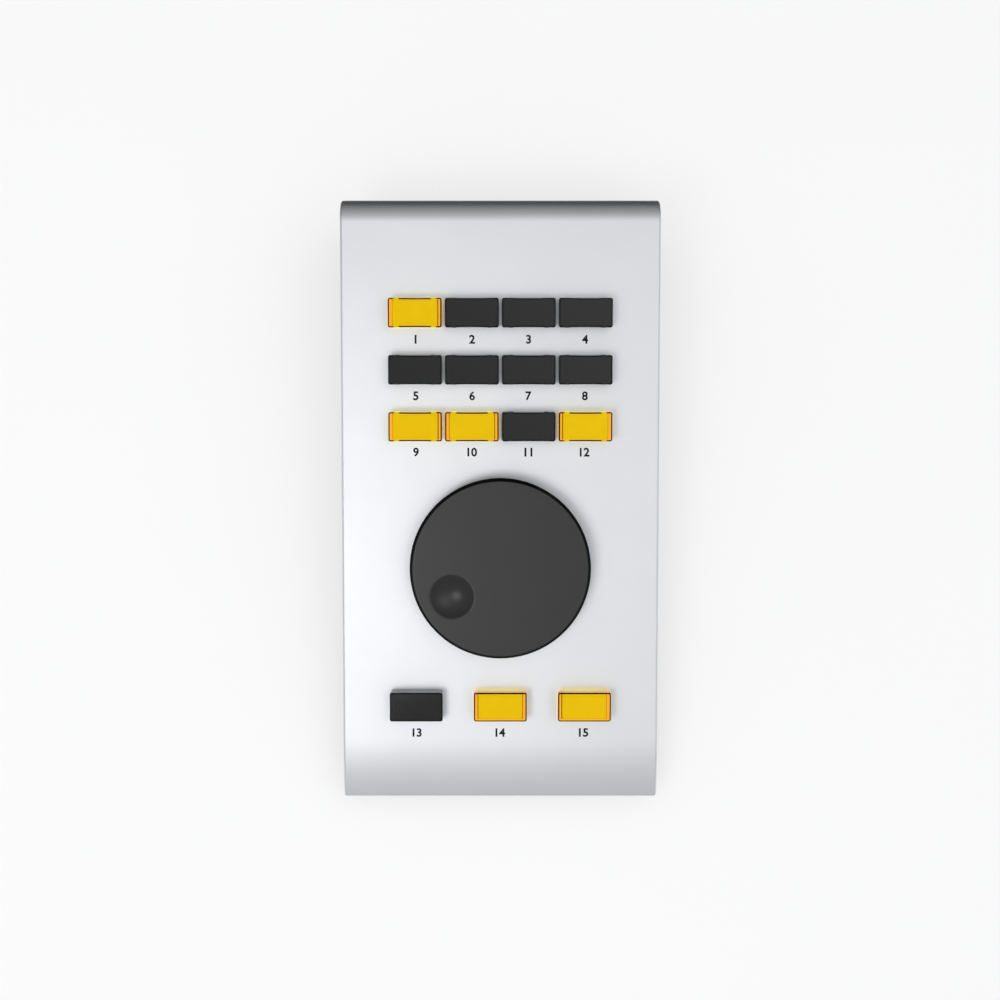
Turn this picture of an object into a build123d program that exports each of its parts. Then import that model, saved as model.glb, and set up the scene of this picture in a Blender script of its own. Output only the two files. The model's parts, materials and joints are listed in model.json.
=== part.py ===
"""Desktop remote controller for audio gear.

A bent aluminium cover slopes over a folded steel tray. Fifteen lit keys and one large dial stand on the
cover, each on its own switch or encoder, and the sockets sit in a recessed panel at the rear.

X runs across the panel, +Y to the rear and +Z up. The origin lies on the desk, under the middle of the case.
Sizes are in millimetres and degrees.
"""
from build123d import *
import os
from math import cos, radians, sin, sqrt

# Panel layout: keys and dial share one grid, counted in pitches uphill from the dial's axis
key_pitch = 19.05
upper_column_shares = (-1.5, -0.5, 0.5, 1.5)
upper_row_shares = (4.5, 3.5, 2.5)
lower_column_shares = (-1.5, 0, 1.5)
lower_row_share = -2.5
panel_slope = 8.0
side_margin = 25.4
rear_margin = 30.5
front_margin = 12.6

# Cover: one bent sheet
cover_sheet = 3.0
rear_bend_radius = 7.5
rear_lip = 5.0
front_bend_radius = 75.0
front_bend_angle = 16.0
edge_round = 1.0

# Tray, rear panel and feet
tray_sheet = 1.5
tray_side_setback = 1.5
tray_front_setback = 9.0
tray_bend_radius = 2.0
rear_sheet = 2.0
tab_width = 10.0
tab_height = 9.0
tab_inset = 1.0
block_width = 8.0
block_length = 16.0
block_row_shares = (3.9, -1.9)
foot_height = 3.0
foot_diameter = 12.0
foot_inset = 14.0
foot_edge_round = 0.6

# Clearances
seam_gap = 0.2
thread_gap = 0.05
running_gap = 0.05
slide_gap = 0.3
window_gap = 0.6
screw_gap = 0.2
floor_gap = 1.2
board_gap = 0.7
cut_overrun = 2.0

# Screws: one pan-head size with a hexagon socket holds the case and the boards
screw_diameter = 3.0
screw_length = 6.0
screw_head_diameter = 5.5
screw_head_height = 1.3
screw_head_taper = 12.0
screw_head_gap = 0.5
screw_end_gap = 0.4
socket_flats = 2.0
socket_depth = 0.9

# Keys: a clear cap clipped over a light guide that works as the plunger of its switch
cap_length = 17.95
cap_width = 9.9
cap_height = 5.0
cap_end_wall = 1.2
cap_side_wall = 0.5
cap_roof = 1.4
cap_draft_angle = 3.5
cap_corner = 0.7
cap_edge_round = 0.45
cap_press_gap = 0.3
key_travel = 1.0
head_gap = 0.1
head_side_gap = 0.325
head_corner = 0.5
lug_width = 1.6
lug_height = 1.2
lug_proud = 0.05
lug_spacing = 12.1
neck_length = 10.5
neck_width = 5.0
neck_corner = 0.6
flange_step = 0.9
flange_thickness = 1.0
stem_diameter = 3.0
stem_length = 2.7

# Switches and lamps below the keys
housing_gap = 0.5
housing_wall = 0.9
housing_lip = 0.9
housing_floor = 0.6
dome_sheet = 0.3
dome_gap = 0.5
dome_top_diameter = 3.4
lamp_length = 1.6
lamp_width = 1.0
lamp_height = 0.8

# Dial
dial_diameter = 61.0
dial_side_draft = 0.4
dial_lift = 1.2
dial_height = 9.0
dial_bevel_width = 0.9
dial_bevel_height = 1.7
dial_edge_round = 0.3
dial_roof = 2.0
dial_recess_diameter = 20.0
dial_recess_gap = 0.8
dimple_radius = 11.0
dimple_depth = 2.8
dimple_round = 0.4
dimple_margin = 3.5
dimple_bearing = 210.0
set_screw_diameter = 3.0
set_screw_length = 5.0
set_screw_socket_flats = 1.5
set_screw_socket_depth = 2.0

# Encoder below the dial
shaft_diameter = 6.0
shaft_flat_depth = 0.5
shaft_end_gap = 0.2
collar_diameter = 8.0
collar_height = 1.0
collar_gap = 0.3
pivot_diameter = 3.0
pivot_depth = 0.6
code_disc_diameter = 10.4
code_disc_sheet = 0.8
code_disc_drop = 0.5
encoder_size = 14.0
encoder_plate = 1.2
encoder_cavity_diameter = 11.6
encoder_floor = 1.0
bush_diameter = 9.0
bush_proud = 0.8
bush_hole_gap = 0.15
encoder_nut_flats = 12.0
encoder_nut_height = 2.2
encoder_washer_diameter = 14.0
encoder_washer_sheet = 0.5

# Boards: one hangs below the cover, one stands on the tray
board_sheet = 1.6
board_edge = 3.5
stud_diameter = 5.5
stud_end = 0.8
stud_row_offset = 10.5
main_board_length = 52.0
controller_size = 14.0
controller_height = 1.6
controller_place_shares = (-0.05, 0.5)
driver_length = 9.0
driver_width = 5.0
driver_height = 1.4
driver_place_shares = ((-0.3, 0.3), (0.3, 0.3))
capacitor_diameter = 6.3
capacitor_height = 7.7
capacitor_place_shares = ((-0.42, 0.62), (-0.42, 0.45))

# Ribbon cable between the boards
ribbon_width = 20.0
ribbon_sheet = 0.8
ribbon_lead = 3.0
ribbon_socket_length = 24.0
ribbon_socket_width = 5.0
ribbon_socket_height = 4.0
ribbon_socket_inset = 10.4

# Sockets in the rear panel
usb_offset = -20.0
usb_width = 12.0
usb_height = 11.0
usb_depth = 16.0
usb_wall = 0.5
usb_proud = 0.4
usb_setback = 0.3
usb_gap = 0.05
usb_panel_gap = 0.3
usb_plug_width = 8.6
usb_plug_height = 8.0
usb_plug_depth = 9.5
usb_plug_chamfer = 1.6
usb_tongue_width = 5.6
usb_tongue_height = 3.2
jack_offset = 18.0
jack_width = 15.0
jack_height = 13.0
jack_depth = 27.0
jack_end = 1.0
jack_bore = 6.4
jack_sleeve_diameter = 9.4
jack_sleeve_seat = 6.0
jack_sleeve_end = 0.4
jack_nut_flats = 12.7
jack_nut_height = 2.3

# Heights of the key stack
cap_lift = key_travel + cap_press_gap
dome_height = key_travel + dome_sheet
housing_height = housing_lip + flange_thickness + stem_length + dome_height + housing_floor
stud_length = housing_gap + housing_height
housing_top_depth = cover_sheet + housing_gap
flange_top_depth = housing_top_depth + housing_lip
flange_bottom_depth = flange_top_depth + flange_thickness
dome_top_depth = flange_bottom_depth + stem_length
housing_floor_depth = dome_top_depth + dome_height
board_top_depth = cover_sheet + stud_length
board_bottom_depth = board_top_depth + board_sheet

# Side view of the case, drawn uphill from the dial's axis and then centred over the origin
right_angle = 90
slope = radians(panel_slope)
front_slope = radians(panel_slope + front_bend_angle)
uphill = Vector(cos(slope), sin(slope))
outward = Vector(-sin(slope), cos(slope))
rear_run = rear_margin + upper_row_shares[0] * key_pitch
front_run = front_margin - lower_row_share * key_pitch
rear_reach = rear_run * cos(slope) + rear_bend_radius * (1 + sin(slope))
front_edge_loss = edge_round * (cos(front_slope) + sin(front_slope) - 1)
front_bend_reach = front_bend_radius * (sin(front_slope) - sin(slope))
front_reach = front_run * cos(slope) + front_bend_reach - front_edge_loss
case_length = rear_reach + front_reach
case_width = (upper_column_shares[-1] - upper_column_shares[0]) * key_pitch + 2 * side_margin

# The lowest board screw, at the front, clears the tray's floor
floor_top = foot_height + tray_sheet
rear_stud_row = upper_row_shares[0] * key_pitch + stud_row_offset
front_stud_row = lower_row_share * key_pitch - stud_row_offset
screw_depth = board_bottom_depth + screw_head_height
screw_reach = screw_head_diameter / 2 - front_stud_row
dial_height_above_desk = floor_top + floor_gap + screw_reach * sin(slope) + screw_depth * cos(slope)
dial_point = Vector((front_reach - rear_reach) / 2, dial_height_above_desk)
rear_centre = dial_point + uphill * rear_run - outward * rear_bend_radius
front_centre = dial_point - uphill * front_run - outward * front_bend_radius

# Workplanes: the panel's upper face at the dial, its side view, a section through the dial and the rear face
panel = Plane(origin=(0, dial_point.X, dial_point.Y), x_dir=(1, 0, 0), z_dir=(0, -sin(slope), cos(slope)))
panel_axis = Axis(panel.origin, panel.z_dir)
panel_side = Plane(origin=panel.origin, x_dir=panel.y_dir, z_dir=panel.x_dir)
dial_section = Plane(origin=panel.origin, x_dir=panel.x_dir, z_dir=-panel.y_dir)
rear_face_y = case_length / 2 - cover_sheet - seam_gap
rear_face = Plane.XZ.offset(-rear_face_y)

# Places that several pieces share
upper_grid = [(column, row) for row in upper_row_shares for column in upper_column_shares]
key_places = [(column * key_pitch, row * key_pitch) for column, row in upper_grid]
lugged_key_count = len(key_places)
key_places += [(column * key_pitch, lower_row_share * key_pitch) for column in lower_column_shares]
tray_width = case_width - 2 * tray_side_setback
tray_inner_width = tray_width - 2 * tray_sheet
tray_front_y = tray_front_setback - case_length / 2
block_depth = screw_head_diameter + 2 * screw_head_gap
block_side = tray_inner_width / 2 - seam_gap - block_width / 2
block_screw_depth = cover_sheet + block_depth / 2
block_screw_places = [(row * key_pitch, -block_screw_depth) for row in block_row_shares]
board_half_width = block_side - block_width / 2 - board_gap
stud_side = board_half_width - board_edge
key_stud_places = [(side * stud_side, row) for row in (rear_stud_row, 0, front_stud_row) for side in (-1, 1)]
tab_side = tray_inner_width / 2 - tab_inset - tab_width / 2
tab_screw_places = [(side * tab_side, floor_top + tab_height / 2) for side in (-1, 1)]
main_stud_length = screw_length - board_sheet + screw_end_gap + stud_end
main_board_top = floor_top + main_stud_length + board_sheet
main_board_half_width = tab_side - tab_width / 2 - board_gap
main_board_rear_y = rear_face_y - rear_sheet - board_gap
main_board_front_y = main_board_rear_y - main_board_length
main_stud_places = [
    (side * (main_board_half_width - board_edge), y)
    for y in (main_board_front_y + board_edge, main_board_rear_y - board_edge)
    for side in (-1, 1)
]
usb_centre = (usb_offset, main_board_top + usb_height / 2)
jack_centre = (jack_offset, main_board_top + jack_height / 2)


def skin_line(depth):
    """Draw the cover's side view at a depth below its outer face; return its front and rear ends."""
    front = CenterArc(front_centre, front_bend_radius - depth, right_angle + panel_slope, front_bend_angle)
    rear = CenterArc(rear_centre, rear_bend_radius - depth, 0, right_angle + panel_slope)
    Line(front @ 0, rear @ 1)
    return front @ 1, rear @ 0


def turned_over(plane):
    """Return the same plane facing the other way, with its uphill direction kept."""
    return Plane(origin=plane.origin, x_dir=-plane.x_dir, z_dir=-plane.z_dir)


def add_screws(seat, places):
    """Add pan-head screws to the open part, with their heads on the seat and their shanks below it."""
    with BuildSketch(seat) as heads:
        with Locations(*places):
            Circle(screw_head_diameter / 2)
    extrude(heads.sketch, amount=screw_head_height, taper=screw_head_taper)
    with BuildSketch(seat) as shanks:
        with Locations(*places):
            Circle(screw_diameter / 2)
    extrude(shanks.sketch, amount=-screw_length)
    with BuildSketch(seat.offset(screw_head_height)) as sockets:
        with Locations(*places):
            RegularPolygon(socket_flats / 2, 6, major_radius=False)
    extrude(sockets.sketch, amount=-socket_depth, mode=Mode.SUBTRACT)


# Cover: bent sheet with a rounded rim, one window for each key and a hole for the dial's bush
window_length = neck_length + 2 * window_gap
window_width = neck_width + 2 * window_gap
with BuildPart() as top_cover:
    with BuildSketch(Plane.YZ):
        with BuildLine():
            front_outer, rear_outer = skin_line(0)
            front_inner, rear_inner = skin_line(cover_sheet)
            lip_drop = Vector(0, -rear_lip)
            Line(front_outer, front_inner)
            Polyline(rear_outer, rear_outer + lip_drop, rear_inner + lip_drop, rear_inner)
        make_face()
    extrude(amount=case_width / 2, both=True)
    bends = top_cover.faces().filter_by(GeomType.CYLINDER).sort_by(SortBy.RADIUS)
    panel_face = top_cover.faces().filter_by(panel_axis).sort_by(panel_axis)[-1]
    lip_face = top_cover.faces().filter_by(Axis.Y).sort_by(Axis.Y)[-1]
    front_face = top_cover.faces().sort_by(Axis.Y)[0]
    outer_edges = ShapeList([*bends[1].edges(), *bends[3].edges(), *panel_face.edges(), *lip_face.edges()])
    side_rim = outer_edges.filter_by(Axis.X, reverse=True)
    front_rim = outer_edges.filter_by(Axis.X).sort_by(Axis.Y)[0]
    front_corners = front_face.edges().filter_by(Axis.X, reverse=True)
    fillet([*side_rim, front_rim, *front_corners], edge_round)
    with BuildSketch(panel):
        with Locations(*key_places):
            RectangleRounded(window_length, window_width, neck_corner + window_gap)
        Circle(bush_diameter / 2 + bush_hole_gap)
    extrude(amount=-(cover_sheet + cut_overrun), mode=Mode.SUBTRACT)

# Tray: floor, sides and front folded from one sheet, with two tabs for the rear panel
with BuildPart() as base_tray:
    with BuildSketch(Plane.YZ):
        with BuildLine():
            front_top, rear_top = skin_line(cover_sheet + seam_gap)
            Polyline(front_top, (front_top.X, foot_height), (rear_top.X, foot_height), rear_top)
        make_face()
        with Locations((tray_front_y, foot_height)):
            Rectangle(case_length, case_length, align=Align.MIN, mode=Mode.INTERSECT)
    extrude(amount=tray_width / 2, both=True)
    tray_under = base_tray.faces().sort_by(Axis.Z)[0]
    tray_front = base_tray.faces().filter_by(Axis.Y).sort_by(Axis.Y)[0]
    folds = [*tray_under.edges().sort_by(Axis.Y)[:-1], *tray_front.edges().filter_by(Axis.Z)]
    fillet(folds, tray_bend_radius)
    with Locations((0, tray_front_y + tray_sheet, floor_top)):
        hollow_align = (Align.CENTER, Align.MIN, Align.MIN)
        Box(tray_inner_width, case_length, case_length, align=hollow_align, mode=Mode.SUBTRACT)
    with Locations(*[(side * tab_side, rear_face_y - rear_sheet, floor_top) for side in (-1, 1)]):
        Box(tab_width, tray_sheet, tab_height, align=(Align.CENTER, Align.MAX, Align.MIN))
    with BuildSketch(panel_side):
        with Locations(*block_screw_places):
            Circle(screw_diameter / 2 + screw_gap)
    extrude(amount=case_width, both=True, mode=Mode.SUBTRACT)
    with BuildSketch(rear_face):
        with Locations(*tab_screw_places):
            Circle(screw_diameter / 2 + thread_gap)
    extrude(amount=rear_sheet + tray_sheet + cut_overrun, mode=Mode.SUBTRACT)

# Rear panel: plate between the tray's sides, behind the cover's lip
with BuildPart() as rear_panel:
    with BuildSketch(rear_face):
        with Locations((0, floor_top)):
            plate_align = (Align.CENTER, Align.MIN)
            Rectangle(tray_inner_width - 2 * seam_gap, rear_centre.Y - floor_top, align=plate_align)
        with Locations(usb_centre):
            Rectangle(usb_width + 2 * usb_panel_gap, usb_height + 2 * usb_panel_gap, mode=Mode.SUBTRACT)
        with Locations(jack_centre):
            Circle(jack_sleeve_diameter / 2 + screw_gap, mode=Mode.SUBTRACT)
        with Locations(*tab_screw_places):
            Circle(screw_diameter / 2 + screw_gap, mode=Mode.SUBTRACT)
    extrude(amount=rear_sheet)

# Feet: four rubber discs below the tray's corners
with BuildPart() as rubber_feet:
    with BuildSketch(Plane.XY):
        foot_side = tray_width / 2 - foot_inset
        foot_rows = (tray_front_y + foot_inset, rear_face_y - foot_inset)
        with Locations(*[(side * foot_side, row) for row in foot_rows for side in (-1, 1)]):
            Circle(foot_diameter / 2)
    extrude(amount=foot_height)
    fillet(rubber_feet.edges().group_by(Axis.Z)[0], foot_edge_round)

# Blocks: fixed below the cover, they take the side screws
with BuildPart() as cover_blocks:
    with BuildSketch(panel.offset(-cover_sheet)):
        with Locations(*[(block_side, row * key_pitch) for row in block_row_shares]):
            Rectangle(block_width, block_length)
    extrude(amount=-block_depth)
    with BuildSketch(panel_side.offset(block_side)):
        with Locations(*block_screw_places):
            Circle(screw_diameter / 2 + thread_gap)
    extrude(amount=block_width, both=True, mode=Mode.SUBTRACT)
    mirror(about=Plane.YZ)

with BuildPart() as case_screws:
    add_screws(panel_side.offset(tray_width / 2), block_screw_places)
    mirror(about=Plane.YZ)
    add_screws(turned_over(rear_face), tab_screw_places)


def key_cap(place, lugged):
    """Return a clear cap, hollow below, with windows for the light guide's lugs."""
    with BuildPart() as cap:
        with BuildSketch(place.offset(cap_lift)):
            RectangleRounded(cap_length, cap_width, cap_corner)
        extrude(amount=cap_height)
        fillet(cap.faces().sort_by(panel_axis)[-1].edges(), cap_edge_round)
        with BuildSketch(place.offset(cap_lift)):
            Rectangle(cap_length - 2 * cap_end_wall, cap_width - 2 * cap_side_wall)
        extrude(amount=cap_height - cap_roof, taper=cap_draft_angle, mode=Mode.SUBTRACT)
        if lugged:
            with BuildSketch(place.offset(lug_lift - head_gap)):
                with GridLocations(lug_spacing, 0, 2, 1):
                    Rectangle(lug_width + 2 * head_gap, cap_width + cut_overrun)
            extrude(amount=lug_height + 2 * head_gap, mode=Mode.SUBTRACT)
    return cap


def key_plunger(place, lugged):
    """Return a light guide: head inside the cap, neck through the cover, flange and stem in the switch."""
    with BuildPart() as plunger:
        with BuildSketch(place.offset(cap_lift)):
            RectangleRounded(head_length, head_width, head_corner)
        extrude(amount=head_height)
        with BuildSketch(place.offset(cap_lift)):
            RectangleRounded(neck_length, neck_width, neck_corner)
        extrude(amount=-(cap_lift + flange_top_depth))
        with BuildSketch(place.offset(-flange_top_depth)):
            Rectangle(flange_length, flange_width)
        extrude(amount=-flange_thickness)
        with BuildSketch(place.offset(-flange_bottom_depth)):
            Circle(stem_diameter / 2)
        extrude(amount=-stem_length)
        if lugged:
            with BuildSketch(place.offset(lug_lift)):
                with GridLocations(lug_spacing, 0, 2, 1):
                    Rectangle(lug_width, cap_width + 2 * lug_proud)
            extrude(amount=lug_height)
    return plunger


# Keys: the twelve upper ones show their lugs, the three lower ones are plain
head_length = cap_length - 2 * cap_end_wall - 2 * head_side_gap
head_width = cap_width - 2 * cap_side_wall - 2 * head_side_gap
head_height = cap_height - cap_roof - head_gap
lug_lift = cap_lift + (head_height - lug_height) / 2
flange_length = neck_length + 2 * flange_step
flange_width = neck_width + 2 * flange_step
cavity_length = flange_length + 2 * slide_gap
cavity_width = flange_width + 2 * slide_gap
dome_diameter = cavity_width - 2 * dome_gap
keys = {}
for number, (across, up) in enumerate(key_places, start=1):
    place = Plane(panel.location * Pos(across, up, 0))
    keys[f"key_cap_{number:02d}"] = key_cap(place, number <= lugged_key_count)
    keys[f"key_plunger_{number:02d}"] = key_plunger(place, number <= lugged_key_count)

# Snap domes: a flat-topped spring on each housing's floor carries the stem of a plunger
cone_align = (Align.CENTER, Align.CENTER, Align.MIN)
dome_inner_radius = dome_diameter / 2 - dome_sheet
dome_inner_top_radius = dome_top_diameter / 2 - dome_sheet
with BuildPart(panel.offset(-housing_floor_depth)) as snap_domes:
    with Locations(*key_places):
        Cone(dome_diameter / 2, dome_top_diameter / 2, dome_height, align=cone_align)
        Cone(dome_inner_radius, dome_inner_top_radius, key_travel, align=cone_align, mode=Mode.SUBTRACT)

# Switch housings: a lip holds each plunger's flange from above
with BuildPart() as switch_housings:
    with BuildSketch(panel.offset(-housing_top_depth)):
        with Locations(*key_places):
            Rectangle(cavity_length + 2 * housing_wall, cavity_width + 2 * housing_wall)
    extrude(amount=-housing_height)
    with BuildSketch(panel.offset(-flange_top_depth)):
        with Locations(*key_places):
            Rectangle(cavity_length, cavity_width)
    extrude(amount=flange_top_depth - housing_floor_depth, mode=Mode.SUBTRACT)
    with BuildSketch(panel.offset(-housing_top_depth)):
        with Locations(*key_places):
            Rectangle(neck_length + 2 * slide_gap, neck_width + 2 * slide_gap)
    extrude(amount=-(housing_lip + slide_gap), mode=Mode.SUBTRACT)

# Key lamps: two chips on each housing floor, one each side of the dome
lamp_spacing = dome_diameter / 2 + cavity_length / 2
with BuildPart() as key_lamps:
    with BuildSketch(panel.offset(-housing_floor_depth)):
        with Locations(*key_places):
            with GridLocations(lamp_spacing, 0, 2, 1):
                Rectangle(lamp_length, lamp_width)
    extrude(amount=lamp_height)

# Dial: a turned wheel, bevelled at the rim, with a finger dimple, a hub bore and a hole for its set screw
dial_top = dial_lift + dial_height
bush_top = encoder_washer_sheet + encoder_nut_height + bush_proud
recess_top = bush_top + dial_recess_gap
bore_top = dial_top - dial_roof
bore_radius = shaft_diameter / 2 + running_gap
set_screw_lift = (recess_top + bore_top) / 2
set_screw_plane = Plane(panel.location * Pos(0, 0, set_screw_lift))
set_screw_plane = Plane(origin=set_screw_plane.origin, x_dir=panel.x_dir, z_dir=panel.y_dir)
dimple_rim_radius = sqrt(dimple_depth * (2 * dimple_radius - dimple_depth))
dimple_reach = dial_diameter / 2 - dial_bevel_width - dimple_margin - dimple_rim_radius
dimple_centre_lift = dial_top + dimple_radius - dimple_depth
dimple_centre = panel.location * Rot(Z=dimple_bearing) * Pos(dimple_reach, 0, dimple_centre_lift)
with BuildPart() as dial:
    with BuildSketch(dial_section) as dial_half:
        with BuildLine():
            Polyline(
                (0, dial_top),
                (dial_diameter / 2 - dial_bevel_width, dial_top),
                (dial_diameter / 2, dial_top - dial_bevel_height),
                (dial_diameter / 2 - dial_side_draft, dial_lift),
                (dial_recess_diameter / 2, dial_lift),
                (dial_recess_diameter / 2, recess_top),
                (bore_radius, recess_top),
                (bore_radius, bore_top),
                (0, bore_top),
                close=True,
            )
        make_face()
        bevel_top = dial_half.vertices().group_by(Axis.Y)[-1].sort_by(Axis.X)[-1]
        bevel_foot = dial_half.vertices().sort_by(Axis.X)[-1]
        fillet([bevel_top, bevel_foot], dial_edge_round)
    revolve(axis=panel_axis)
    with Locations(dimple_centre):
        Sphere(dimple_radius, mode=Mode.SUBTRACT)
    dial_face = dial.faces().filter_by(panel_axis).sort_by(panel_axis)[-1]
    fillet(dial_face.edges().sort_by(SortBy.RADIUS)[0], dimple_round)
    with BuildSketch(set_screw_plane):
        Circle(set_screw_diameter / 2 + thread_gap)
    extrude(amount=dial_diameter, mode=Mode.SUBTRACT)

with BuildPart() as dial_set_screw:
    screw_tip = shaft_diameter / 2 - shaft_flat_depth
    with BuildSketch(set_screw_plane.offset(screw_tip)):
        Circle(set_screw_diameter / 2)
    extrude(amount=set_screw_length)
    with BuildSketch(set_screw_plane.offset(screw_tip + set_screw_length)):
        RegularPolygon(set_screw_socket_flats / 2, 6, major_radius=False)
    extrude(amount=-set_screw_socket_depth, mode=Mode.SUBTRACT)

# Encoder: the shaft turns in the bush, held up by its collar, and carries the code disc
plate_bottom = -cover_sheet - encoder_plate
cavity_floor = encoder_floor - board_top_depth
collar_top = plate_bottom - collar_gap
collar_bottom = collar_top - collar_height
disc_top = collar_bottom - code_disc_drop
shaft_bottom = disc_top - code_disc_sheet
pivot_bottom = cavity_floor - pivot_depth
shaft_top = bore_top - shaft_end_gap
with BuildPart() as encoder_shaft:
    with BuildSketch(dial_section):
        with BuildLine():
            Polyline(
                (0, shaft_top),
                (shaft_diameter / 2, shaft_top),
                (shaft_diameter / 2, collar_top),
                (collar_diameter / 2, collar_top),
                (collar_diameter / 2, collar_bottom),
                (shaft_diameter / 2, collar_bottom),
                (shaft_diameter / 2, shaft_bottom),
                (pivot_diameter / 2, shaft_bottom),
                (pivot_diameter / 2, pivot_bottom),
                (0, pivot_bottom),
                close=True,
            )
        make_face()
    revolve(axis=panel_axis)
    with BuildSketch(panel.offset(recess_top)):
        with Locations((0, shaft_diameter / 2)):
            Rectangle(shaft_diameter, 2 * shaft_flat_depth)
    extrude(amount=shaft_top, mode=Mode.SUBTRACT)

with BuildPart() as encoder_code_disc:
    with BuildSketch(panel.offset(disc_top)):
        Circle(code_disc_diameter / 2)
        Circle(shaft_diameter / 2 + running_gap, mode=Mode.SUBTRACT)
    extrude(amount=-code_disc_sheet)

with BuildPart() as encoder_bush:
    with BuildSketch(panel.offset(-cover_sheet)):
        Rectangle(encoder_size, encoder_size)
    extrude(amount=-encoder_plate)
    with BuildSketch(panel.offset(-cover_sheet)):
        Circle(bush_diameter / 2)
    extrude(amount=cover_sheet + bush_top)
    with BuildSketch(panel.offset(plate_bottom)):
        Circle(shaft_diameter / 2 + running_gap)
    extrude(amount=bush_top - plate_bottom, mode=Mode.SUBTRACT)

with BuildPart() as encoder_body:
    with BuildSketch(panel.offset(-board_top_depth)):
        Rectangle(encoder_size, encoder_size)
    extrude(amount=board_top_depth + plate_bottom)
    with BuildSketch(panel.offset(cavity_floor)):
        Circle(encoder_cavity_diameter / 2)
    extrude(amount=plate_bottom - cavity_floor, mode=Mode.SUBTRACT)
    with BuildSketch(panel.offset(cavity_floor)):
        Circle(pivot_diameter / 2 + running_gap)
    extrude(amount=-(pivot_depth + running_gap), mode=Mode.SUBTRACT)

with BuildPart() as encoder_washer:
    with BuildSketch(panel):
        Circle(encoder_washer_diameter / 2)
        Circle(bush_diameter / 2 + bush_hole_gap, mode=Mode.SUBTRACT)
    extrude(amount=encoder_washer_sheet)

with BuildPart() as encoder_nut:
    with BuildSketch(panel.offset(encoder_washer_sheet)):
        RegularPolygon(encoder_nut_flats / 2, 6, major_radius=False)
        Circle(bush_diameter / 2 + thread_gap, mode=Mode.SUBTRACT)
    extrude(amount=encoder_nut_height)

# Key board: carries the switches and the encoder, parallel to the panel
key_board_rear = rear_stud_row + board_edge
key_board_front = front_stud_row - board_edge
with BuildPart() as key_board:
    with BuildSketch(panel.offset(-board_top_depth)):
        with Locations((0, (key_board_rear + key_board_front) / 2)):
            Rectangle(2 * board_half_width, key_board_rear - key_board_front)
        with Locations(*key_stud_places):
            Circle(screw_diameter / 2 + screw_gap, mode=Mode.SUBTRACT)
    extrude(amount=-board_sheet)

# Main board: flat on the tray, with its rear edge at the sockets
main_board_middle = (0, (main_board_front_y + main_board_rear_y) / 2)
with BuildPart() as main_board:
    with BuildSketch(Plane.XY.offset(main_board_top)):
        with Locations(main_board_middle):
            Rectangle(2 * main_board_half_width, main_board_length)
        with Locations(*main_stud_places):
            Circle(screw_diameter / 2 + screw_gap, mode=Mode.SUBTRACT)
    extrude(amount=-board_sheet)

# Studs and screws of both boards
stud_hole_depth = screw_length - board_sheet + screw_end_gap
with BuildPart() as board_studs:
    with BuildSketch(panel.offset(-cover_sheet)):
        with Locations(*key_stud_places):
            Circle(stud_diameter / 2)
    extrude(amount=-stud_length)
    with BuildSketch(panel.offset(-board_top_depth)):
        with Locations(*key_stud_places):
            Circle(screw_diameter / 2 + thread_gap)
    extrude(amount=stud_hole_depth, mode=Mode.SUBTRACT)
    with BuildSketch(Plane.XY.offset(floor_top)):
        with Locations(*main_stud_places):
            Circle(stud_diameter / 2)
    extrude(amount=main_stud_length)
    with BuildSketch(Plane.XY.offset(floor_top + main_stud_length)):
        with Locations(*main_stud_places):
            Circle(screw_diameter / 2 + thread_gap)
    extrude(amount=-stud_hole_depth, mode=Mode.SUBTRACT)

with BuildPart() as board_screws:
    add_screws(turned_over(panel.offset(-board_bottom_depth)), key_stud_places)
    add_screws(Plane.XY.offset(main_board_top), main_stud_places)


def on_main_board(shares):
    """Return a place on the main board from its shares of the board's width and length."""
    return 2 * main_board_half_width * shares[0], main_board_front_y + main_board_length * shares[1]


# Chips on the main board
with BuildPart() as board_chips:
    with BuildSketch(Plane.XY.offset(main_board_top)):
        with Locations(on_main_board(controller_place_shares)):
            Rectangle(controller_size, controller_size)
    extrude(amount=controller_height)
    with BuildSketch(Plane.XY.offset(main_board_top)):
        with Locations(*[on_main_board(shares) for shares in driver_place_shares]):
            Rectangle(driver_length, driver_width)
    extrude(amount=driver_height)
    with BuildSketch(Plane.XY.offset(main_board_top)):
        with Locations(*[on_main_board(shares) for shares in capacitor_place_shares]):
            Circle(capacitor_diameter / 2)
    extrude(amount=capacitor_height)

# Ribbon cable: leaves the main board's socket to the front and turns over in one arc to the key board
main_socket_y = main_board_front_y + ribbon_socket_inset
ribbon_level = board_bottom_depth + ribbon_socket_height / 2
ribbon_end = Vector(main_socket_y - ribbon_socket_width / 2, main_board_top + ribbon_socket_height / 2)
arc_end = ribbon_end - Vector(ribbon_lead, 0)
arc_radius = ((dial_point - arc_end).dot(outward) - ribbon_level) / (1 + cos(slope))
arc_centre = arc_end + Vector(0, arc_radius)
arc_start = arc_centre + outward * arc_radius
ribbon_start = arc_start + uphill * ribbon_lead
key_socket_row = (ribbon_start - dial_point).dot(uphill) + ribbon_socket_width / 2
with BuildPart() as ribbon_cable:
    with BuildSketch(Plane.YZ):
        with BuildLine():
            Line(ribbon_start, arc_start)
            CenterArc(arc_centre, arc_radius, right_angle + panel_slope, 2 * right_angle - panel_slope)
            Line(arc_end, ribbon_end)
        trace(line_width=ribbon_sheet)
    extrude(amount=ribbon_width / 2, both=True)

with BuildPart() as ribbon_sockets:
    with BuildSketch(panel.offset(-board_bottom_depth)):
        with Locations((0, key_socket_row)):
            Rectangle(ribbon_socket_length, ribbon_socket_width)
    extrude(amount=-ribbon_socket_height)
    with BuildSketch(Plane.XY.offset(main_board_top)):
        with Locations((0, main_socket_y)):
            Rectangle(ribbon_socket_length, ribbon_socket_width)
    extrude(amount=ribbon_socket_height)

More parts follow.
